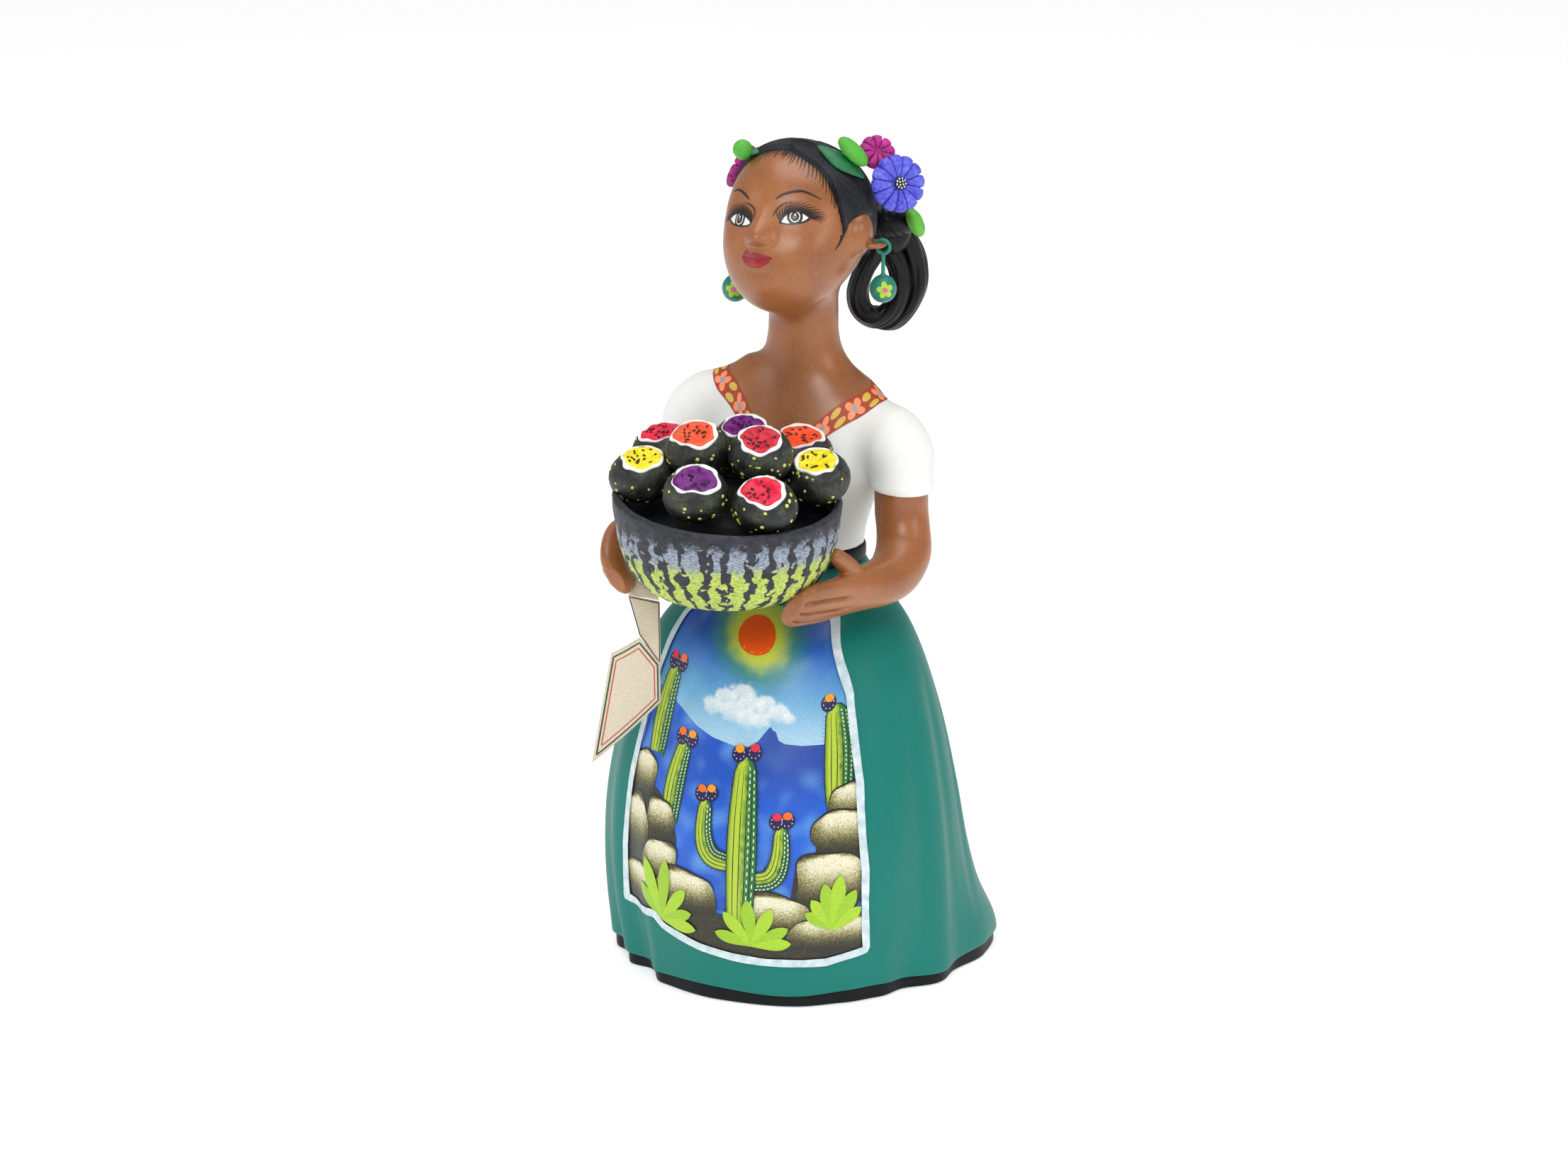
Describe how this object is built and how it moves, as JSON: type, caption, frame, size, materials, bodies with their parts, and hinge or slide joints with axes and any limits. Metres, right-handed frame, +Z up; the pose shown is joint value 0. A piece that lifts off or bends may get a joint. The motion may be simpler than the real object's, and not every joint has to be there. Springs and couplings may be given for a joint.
{
  "type": "painted clay doll figure",
  "caption": "Free-standing painted clay doll in a full hollow skirt, holding out a bowl of cut prickly pears, with swinging ball earrings and a paper tag.",
  "frame": {"origin": "on the ground, under the centre of the figure's bounding box", "axes": "+Z up, the doll faces -Y, its own left hand is towards +X"},
  "size_m": [0.1572, 0.1954, 0.3373],
  "materials": {
    "teal_paint": "satin paint on fired clay",
    "black_paint": "matte paint on fired clay",
    "white_paint": "matte paint on fired clay",
    "skin_clay": "burnished clay with a soft gloss",
    "hair_paint": "matte paint on fired clay",
    "bowl_paint": "rough brushed paint on fired clay",
    "fruit_paint": "matte paint on fired clay",
    "blue_paint": "matte paint on clay",
    "magenta_paint": "matte paint on clay",
    "leaf_paint": "matte paint on clay",
    "bright_green_paint": "matte paint on clay",
    "jade_paint": "matte paint on clay and wire",
    "tag_paper": "uncoated card"
  },
  "bodies": {
    "figure": {"skirt_shell": "teal_paint", "hem_ring": "black_paint", "waistband": "black_paint", "torso_shell": "white_paint", "sleeve_left": "white_paint", "sleeve_right": "white_paint", "arm_left": "skin_clay", "arm_right": "skin_clay", "head_shell": "skin_clay", "hair_cap": "hair_paint", "hair_gather": "hair_paint", "hair_strand_front": "hair_paint", "hair_strand_back": "hair_paint", "ear_left": "skin_clay", "ear_right": "skin_clay", "ear_loop_left": "skin_clay", "ear_loop_right": "skin_clay", "bowl": "bowl_paint", "bowl_fill": "black_paint", "flower_blue": "blue_paint", "flower_blue_centre": "black_paint", "flower_magenta": "magenta_paint", "flower_right": "magenta_paint", "leaf_dark_left": "leaf_paint", "bud_bright_left": "bright_green_paint", "leaf_lime_left": "bright_green_paint", "bud_right": "bright_green_paint", "leaf_dark_right": "leaf_paint", "fruit_1": "fruit_paint", "fruit_2": "fruit_paint", "fruit_3": "fruit_paint", "fruit_4": "fruit_paint", "fruit_5": "fruit_paint", "fruit_6": "fruit_paint", "fruit_7": "fruit_paint", "fruit_8": "fruit_paint", "fruit_9": "fruit_paint"},
    "earring_left": {"earring_left_wire": "jade_paint", "earring_left_ball": "jade_paint"},
    "earring_right": {"earring_right_wire": "jade_paint", "earring_right_ball": "jade_paint"},
    "tag_top_leaf": {"tag_upper": "tag_paper"},
    "tag_end_leaf": {"tag_lower": "tag_paper"}
  },
  "joints": [
    {"name": "earring_left_swing", "type": "hinge", "parent": "figure", "child": "earring_left", "pos_m": [0.03428, 0.02057, 0.2957], "axis": [0, 1, 0], "range_deg": [-40, 8]},
    {"name": "earring_right_swing", "type": "hinge", "parent": "figure", "child": "earring_right", "pos_m": [-0.03402, 0.02907, 0.287], "axis": [0, 1, 0], "range_deg": [-8, 40]},
    {"name": "tag_top_bend", "type": "hinge", "parent": "figure", "child": "tag_top_leaf", "pos_m": [-0.03662, -0.05348, 0.1612], "axis": [0.9889, -0.1483, 0], "range_deg": [-24, 2], "stiffness_Nm_per_rad": 0.006},
    {"name": "tag_fold_bend", "type": "hinge", "parent": "tag_top_leaf", "child": "tag_end_leaf", "pos_m": [-0.03152, -0.05933, 0.1416], "axis": [0.516, 0.2709, -0.8126], "range_deg": [-6, 14], "stiffness_Nm_per_rad": 0.006}
  ]
}
